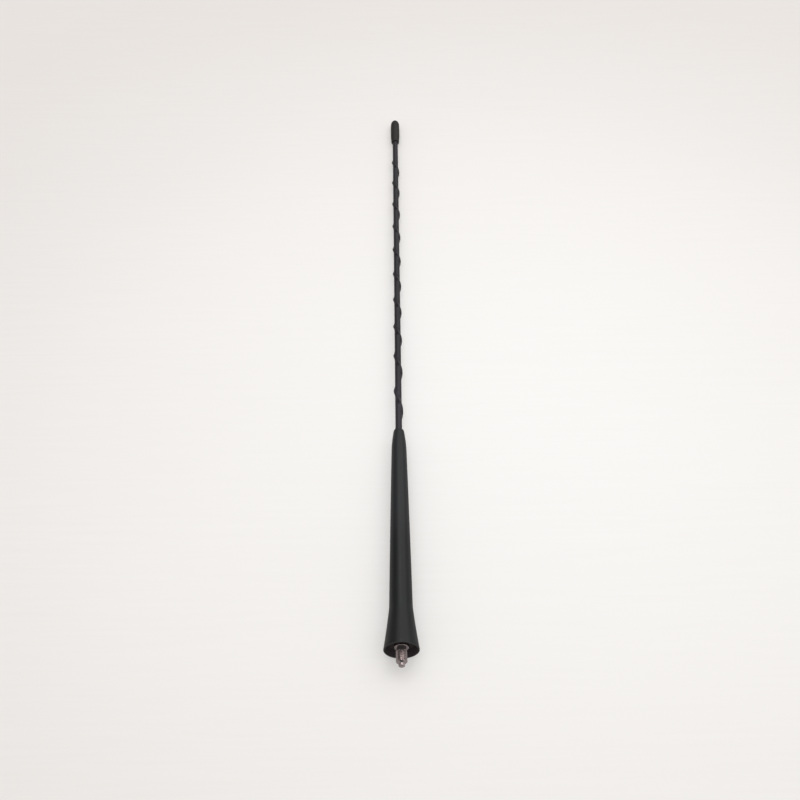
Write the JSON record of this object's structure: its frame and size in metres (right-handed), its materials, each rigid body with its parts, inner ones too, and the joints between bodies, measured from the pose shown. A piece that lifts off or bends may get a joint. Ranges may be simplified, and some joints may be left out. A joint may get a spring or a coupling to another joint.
{
  "type": "car antenna",
  "caption": "Screw-on roof whip antenna: thin rod with a raised spiral winding, tapered rubber grip, threaded stud and rubber tip cap.",
  "frame": {"origin": "middle of the grip's lower rim, in the plane that seats on the aerial's base", "axes": "+Z along the mast to its tip, the stud points along -Z"},
  "size_m": [0.0158, 0.0158, 0.4067],
  "materials": {
    "grip_rubber": "satin moulded black",
    "stud_metal": "nickel plated, turned",
    "glass_fibre": "pultruded resin rod",
    "copper": "bare copper wire",
    "jacket_plastic": "shrunk black tube",
    "cap_rubber": "matt moulded black",
    "solder": "dull solder"
  },
  "bodies": {
    "root": {"grip_sleeve": "grip_rubber", "threaded_stud": "stud_metal", "core_rod": "glass_fibre", "antenna_wire": "copper", "rod_jacket": "jacket_plastic", "tip_cap": "cap_rubber", "solder_joint": "solder"}
  },
  "joints": []
}
